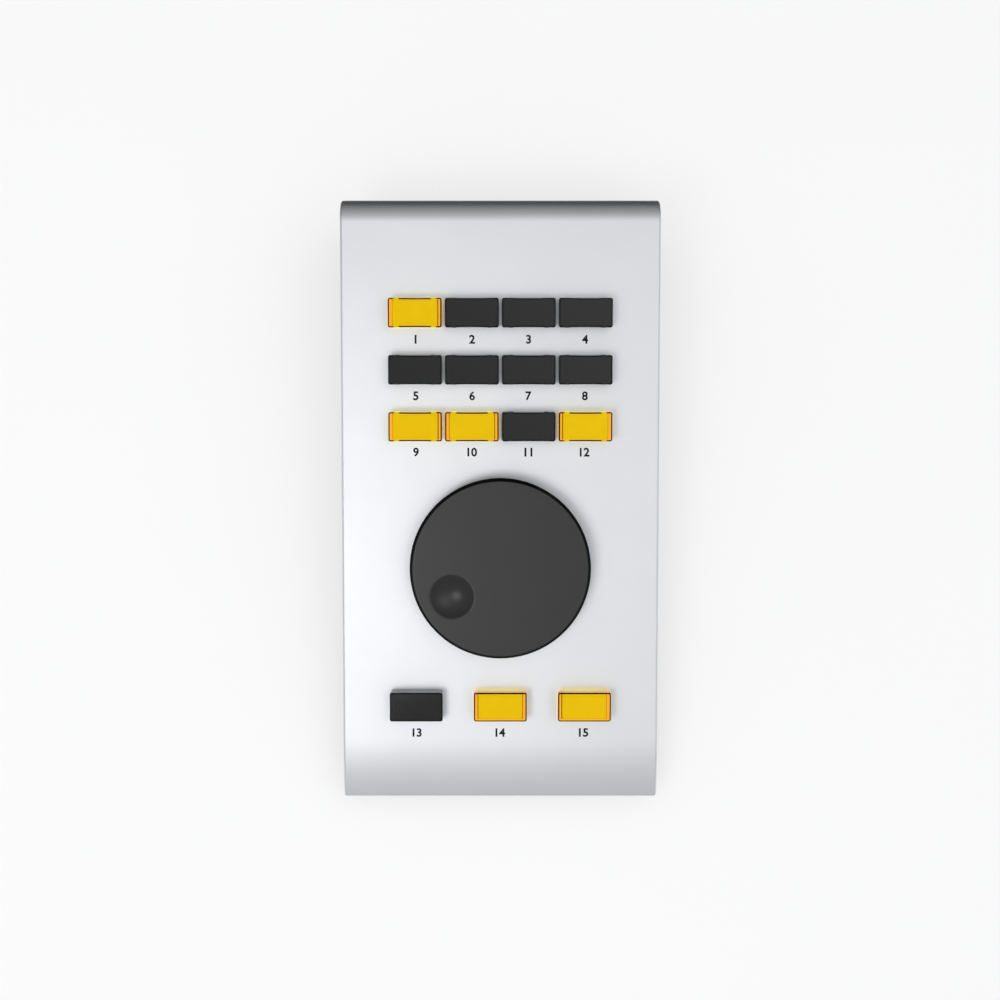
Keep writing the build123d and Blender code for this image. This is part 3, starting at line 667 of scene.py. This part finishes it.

# %% [markdown]
# ## Key caps
#
# Each cap is a clear moulded shell. It starts as a block whose long sides are bowed in a little,
# as moulded walls are when they cool. Its corners and top edge are rounded, and the inside and, on
# the upper keys, four small windows for the clip lugs are cut out of it. Every face then gets one
# of four coats: clear shell, end wall painted dark as painted shade, rim painted dark as painted
# shade, or a foot that glows as painted light on the amber caps. One shell of each kind is made
# and copied to every key.

# %% Mould the caps
cap_size = Vector((17.95, 9.9, 5.0)) * mm
cap_lift = 1.3 * mm
cavity_size = Vector((15.55, 8.9, 3.6)) * mm
draft = tan(radians(3.5))
clip_window, clip_reach, clip_lift = (1.8 * mm, 12 * mm, 1.4 * mm), 6.05 * mm, 3.05 * mm
edge_round, corner_round = 0.45 * mm, 0.7 * mm
side_bow, bow_cuts = 0.13 * mm, 9
slack = mm / 50
shell_coat, end_wall_shade_coat, rim_shade_coat, foot_coat = range(4)


def cavity_core():
    """Make the core that leaves a cap hollow; it narrows upwards, so that the cap comes off it."""
    overrun = 1.0 * mm
    height = cavity_size.z + overrun
    foot = [side + 2 * draft * overrun for side in cavity_size.xy]
    roof = [side - 2 * draft * cavity_size.z for side in cavity_size.xy]
    core = bmesh.new()
    bmesh.ops.create_cube(core, size=1)
    bmesh.ops.scale(core, vec=(*foot, height), verts=core.verts)
    upper = [v for v in core.verts if v.co.z > 0]
    bmesh.ops.scale(core, vec=(roof[0] / foot[0], roof[1] / foot[1], 1), verts=upper)
    bmesh.ops.translate(core, vec=(0, 0, cap_lift + cavity_size.z - height / 2), verts=core.verts)
    return core


def coat_of(face, clips):
    """Say which of the four coats a face of a cap gets."""
    middle = face.calc_center_median()
    # Foot faces: painted glow on the amber caps.
    if middle.z < cap_lift + slack and face.normal.z < -0.9:
        return foot_coat
    # The rounded rim is painted shade, except over the clip windows.
    over_clip = clips and abs(abs(middle.x) - clip_reach) < clip_window[0] / 2
    in_rim = middle.z > cap_lift + cap_size.z - edge_round and face.normal.z < 0.99
    if in_rim and not over_clip:
        return rim_shade_coat
    # The end walls' inner faces are painted shade.
    in_length = abs(middle.x) < cavity_size.x / 2 + slack
    in_width = abs(middle.y) < cavity_size.y / 2 + slack
    end_wall = in_length and in_width and abs(face.normal.x) > 0.5
    return end_wall_shade_coat if end_wall else shell_coat


def moulded_cap(bow, clips):
    """Make one clear shell around the panel's origin."""
    cap = bmesh.new()
    bmesh.ops.create_cube(cap, size=1)
    bmesh.ops.scale(cap, vec=cap_size, verts=cap.verts)
    long_edges = [e for e in cap.edges if abs(e.verts[0].co.x - e.verts[1].co.x) > mm]
    bmesh.ops.subdivide_edges(cap, edges=long_edges, cuts=bow_cuts, use_grid_fill=True)
    half = cap_size / 2
    for vert in cap.verts:
        sag = bow * (1 - (vert.co.x / half.x) ** 2)
        vert.co.y -= sag if vert.co.y > 0 else -sag
    corners = [e for e in cap.edges if all(abs(v.co.x) > half.x - mm / 100 for v in e.verts)]
    upright = [e for e in corners if edge_rise(e) > mm]
    round_edges(cap, upright, corner_round, 5)
    roof = [f for f in cap.faces if f.normal.z > 0.9]
    roof_rim = [e for e in cap.edges if len([f for f in e.link_faces if f in roof]) == 1]
    round_edges(cap, roof_rim, edge_round, 4)
    bmesh.ops.translate(cap, vec=(0, 0, cap_lift + half.z), verts=cap.verts)
    cap = carve(cap, cavity_core())
    for side in (-1, 1) if clips else ():
        slots = bmesh.new()
        block(slots, clip_window, (side * clip_reach, 0, clip_lift))
        cap = carve(cap, slots)
    cap.normal_update()
    for face in cap.faces:
        face.material_index = coat_of(face, clips)
    return cap


upper_cap = moulded_cap(side_bow, clips=True)
lower_cap = moulded_cap(0, clips=False)
for number, (across, up) in enumerate(key_places, 1):
    shell = (upper_cap if number <= clipped_keys else lower_cap).copy()
    shell.transform(panel @ Matrix.Translation((across, up, 0)))
    name = f"key_cap_{number:02d}"
    slot = slot_of[name]
    # The second and third coats are painted shade; the fourth glows as painted light on the amber
    # caps.
    coats = [finishes[slot], cap_wall_painted_shade, cap_rim_shades[slot], wall_feet[slot]]
    finish_piece(f"shell_{number:02d}", shell, body_of[name], slot, [name], coats)
print(len(key_places), "caps moulded")

# %% [markdown]
# ## Pieces that keep their CAD shape
#
# Folded, turned and moulded pieces that the CAD model already has right only need what a sharp
# model lacks: a small broken edge that catches light. Their meshes are copied, merged and bevelled
# where they are sharp, and the copies stand for the nodes.

# %% Break the edges of copied pieces
def broken_edges(node, width, steps=2, sharp_angle=40):
    """Copy a node's mesh, merge it, and round its sharp edges a little."""
    copy = bmesh.new()
    copy.from_mesh(nodes[node].data)
    bmesh.ops.remove_doubles(copy, verts=copy.verts, dist=mm / 1000)
    bmesh.ops.dissolve_limit(copy, angle_limit=radians(0.5), verts=copy.verts, edges=copy.edges)
    sharp = [e for e in copy.edges if e.is_manifold and e.calc_face_angle(0) > radians(sharp_angle)]
    round_edges(copy, sharp, width, steps)
    return copy


edge_widths = {
    "base_tray": 0.3 * mm,
    "rear_panel": 0.25 * mm,
    "rubber_feet": 0.5 * mm,
    "case_screws": 0.12 * mm,
    "usb_shell": 0.1 * mm,
    "usb_insulator": 0.1 * mm,
    "jack_sleeve": 0.12 * mm,
    "jack_nut": 0.15 * mm,
    "dial_set_screw": 0.08 * mm,
}
for number in range(1, len(key_places) + 1):
    edge_widths[f"key_plunger_{number:02d}"] = 0.12 * mm
for node, width in edge_widths.items():
    finish_piece(f"{node}_eased", broken_edges(node, width), body_of[node], slot_of[node], [node])
for node, kept in nodes.items():
    kept.data.materials.clear()
    kept.data.materials.append(finishes[slot_of[node]])
print(len(edge_widths), "copies eased,", len(nodes), "nodes finished")

# %% [markdown]
# ## Printed numbers
#
# Every key has its number printed below it, as on a plain control panel. Ink is a real layer, so
# each number is text made into a mesh two hundredths of a millimetre thick that stands on the
# panel.

# %% Print the numbers
digit_height = 3.0 * mm
ink = 0.02 * mm
stroke_gain, half_thickness = 0.03, 0.1
upper_drop, lower_drop = 8.85 * mm, 10.0 * mm


def printed(word, across, up):
    """Return the mesh of one word, centred at a place on the panel."""
    letters = bpy.data.curves.new(word, "FONT")
    letters.body = word
    letters.size = 1
    letters.offset = stroke_gain
    letters.extrude = half_thickness
    letters.resolution_u = 6
    holder = bpy.data.objects.new(word, letters)
    flat = bpy.data.meshes.new_from_object(holder)
    bpy.data.objects.remove(holder)
    low, high = (
        Vector(pick(v.co[axis] for v in flat.vertices) for axis in range(3)) for pick in (min, max)
    )
    fit = digit_height / (high.y - low.y)
    flat.transform(Matrix.Translation(-(low + high) / 2))
    flat.transform(Matrix.Diagonal((fit, fit, ink / (2 * half_thickness), 1)))
    flat.transform(Matrix.Translation((across, up, ink / 2)))
    return flat


numbers = bmesh.new()
for number, (across, up) in enumerate(key_places, 1):
    drop = upper_drop if number <= clipped_keys else lower_drop
    numbers.from_mesh(printed(str(number), across, up - drop))
bmesh.ops.remove_doubles(numbers, verts=numbers.verts, dist=mm / 2000)
bmesh.ops.recalc_face_normals(numbers, faces=numbers.faces)
numbers.transform(panel)
finish_piece("panel_numbers", numbers, "case", "switch_plastic", materials=[print_ink])
print("numbers 1 to", len(key_places), "printed")

# %% [markdown]
# ## Socket contacts
#
# A square data socket has a tongue with four thin contact strips, two above and two below. They
# are tiny, but a socket without them looks like a hole, so four gold strips lie on the tongue.

# %% Lay the contacts
_, tongue_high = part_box("usb_insulator")
contact_size = Vector((0.9, 6.0, 0.06)) * mm
contact_spread, contact_depth = 1.3 * mm, 4.2 * mm
socket_across, socket_lift, tongue_height = -20 * mm, 17.2 * mm, 3.2 * mm
socket_middle = Vector((socket_across, tongue_high.y - contact_depth, socket_lift))
contacts = bmesh.new()
for side in (-1, 1):
    for row in (-1, 1):
        rise = row * (tongue_height + contact_size.z) / 2
        block(contacts, contact_size, socket_middle + Vector((side * contact_spread, 0, rise)))
bmesh.ops.recalc_face_normals(contacts, faces=contacts.faces)
finish_piece("usb_contacts", contacts, "case", "socket_metal", materials=[contact_gold])
print("four contacts on the tongue")

# %% [markdown]
# ## The table
#
# Product photographs on white lift the paper until it burns out. Here the paper itself gives part
# of its white, but only towards the camera, shiny surfaces and clear plastic, so that it adds no
# light to the case from below.

# %% White table
table_half, glow_share = 1.5, 0.6
table = bmesh.new()
bmesh.ops.create_grid(table, x_segments=1, y_segments=1, size=table_half)
floor = plain_object("table", table)
paper = Finish("table_paper", Roughness=0.9)
paper.feed("Base Color", paper.noise(60 * mm, 3).mixed(grey(0.88), grey(0.9)))
paper.bump(paper.noise(1.2 * mm, 2), 0.02 * mm, 0.3)
camera_ray = paper.node("LightPath", output="Is Camera Ray")
shiny_ray = paper.node("LightPath", output="Is Glossy Ray")
clear_ray = paper.node("LightPath", output="Is Transmission Ray")
share = paper.math("MINIMUM", camera_ray + shiny_ray + clear_ray, 1.0) * glow_share
matt = Wire(paper.tree, paper.shader.outputs["BSDF"])
white_light = paper.node("Emission", None, {"Color": grey(1), "Strength": 1.0}, "Emission")
factor, first_shader, second_shader = range(3)
mix = {factor: share, first_shader: matt, second_shader: white_light}
white = paper.node("MixShader", None, mix, "Shader")
paper.fill(paper.tree.nodes["Material Output"].inputs["Surface"], white)
floor.data.materials.append(paper.material)
print("table laid")

# %% [markdown]
# ## World and lamps
#
# The world is brightest overhead and to the right, which lights the satin panel and makes it fall
# off gently. A small softbox at the front left draws the shadows, and a wide fill under the
# ceiling whitens the table.

# %% World and lamps
sky_base, sky_peak, sky_focus = 0.47, 1.1, 14
studio = bpy.data.worlds.new("studio")
studio.use_nodes = True
bpy.context.scene.world = studio
sky = Wire(studio.node_tree)
direction = sky.node("TexCoord", output="Generated")
bright_side = Vector((0.458, 0.017, 1)).normalized()
pair = {0: direction, 1: bright_side}
facing = sky.node("VectorMath", {"operation": "DOT_PRODUCT"}, pair, "Value")
glow = sky.math("POWER", sky.math("MAXIMUM", facing, 0.0), sky_focus)
background = studio.node_tree.nodes["Background"]
sky.fill(background.inputs["Strength"], sky_base + sky_peak * glow)
sky.fill(background.inputs["Color"], (0.98, 0.99, 1.0))


def softbox(name, place, look_at, side, power):
    """Hang a square lamp that faces a point."""
    lamp = bpy.data.lights.new(name, "AREA")
    lamp.shape = "SQUARE"
    lamp.size = side
    lamp.energy = power
    made = bpy.data.objects.new(name, lamp)
    made.location = place
    made.rotation_euler = (Vector(look_at) - Vector(place)).to_track_quat("-Z", "Y").to_euler()
    bpy.context.scene.collection.objects.link(made)
    return made


softbox("front_left_softbox", (-0.25, -0.25, 0.75), (-0.03, -0.04, 0.03), side=0.3, power=0.93)
ceiling = softbox("ceiling_fill", (0, 0, 1.6), (0, 0, 0), side=2.4, power=13)
ceiling.visible_glossy = ceiling.visible_transmission = False
print("world and lamps lit")

# %% [markdown]
# ## Cards behind the case
#
# Metal shows what stands round it. A card behind the case, dark below and pale above, gives the
# rear bend its gradient, and a dark sheet that lies behind the case gives it the dark line, as a
# black flag would. Only shiny surfaces see the two.

# %% Cards for the metal to mirror
def mirror_card(name, material, width, height, distance, lying=False):
    """Stand or lay a card behind the case that only shiny surfaces see."""
    sheet_mesh = bmesh.new()
    bmesh.ops.create_grid(sheet_mesh, x_segments=1, y_segments=1, size=0.5)
    bmesh.ops.scale(sheet_mesh, vec=(width, height, 1), verts=sheet_mesh.verts)
    bmesh.ops.translate(sheet_mesh, vec=(0, height / 2, 0), verts=sheet_mesh.verts)
    if not lying:
        bmesh.ops.rotate(sheet_mesh, cent=(0, 0, 0), matrix=quarter_turn, verts=sheet_mesh.verts)
    bmesh.ops.translate(sheet_mesh, vec=(0, distance, mm / 2), verts=sheet_mesh.verts)
    card = plain_object(name, sheet_mesh)
    card.data.materials.append(material)
    card.visible_camera = card.visible_diffuse = False
    card.visible_shadow = card.visible_transmission = False


dark_below, tone_curve, tone_gain = 52 * mm, 0.318, 0.483
graded = Finish("graded_card", Roughness=1.0, Emission_Strength=1.0, Specular_IOR_Level=0.0)
graded.feed("Base Color", graded.noise(50 * mm).mixed(grey(0), grey(0.01)))
height_up = graded.node("SeparateXYZ", None, {"Vector": graded.place}, "Z")
lift = graded.math("MAXIMUM", height_up - dark_below, 0.0)
tone = graded.math("POWER", lift, tone_curve) * tone_gain
graded.feed("Emission Color", tone.mixed(grey(0), grey(1)))
mirror_card("graded_card", graded.material, width=1.4, height=0.967, distance=0.35)
card_black = moulded(
    "card_black", grey(0.01), grey(0.02), 0.9, 1 * mm, 0.02 * mm, Specular_IOR_Level=0.0
)
mirror_card("dark_ground", card_black, width=0.9, height=0.22, distance=0.13, lying=True)
bpy.context.scene.view_settings.view_transform = "Standard"
print("studio lit")
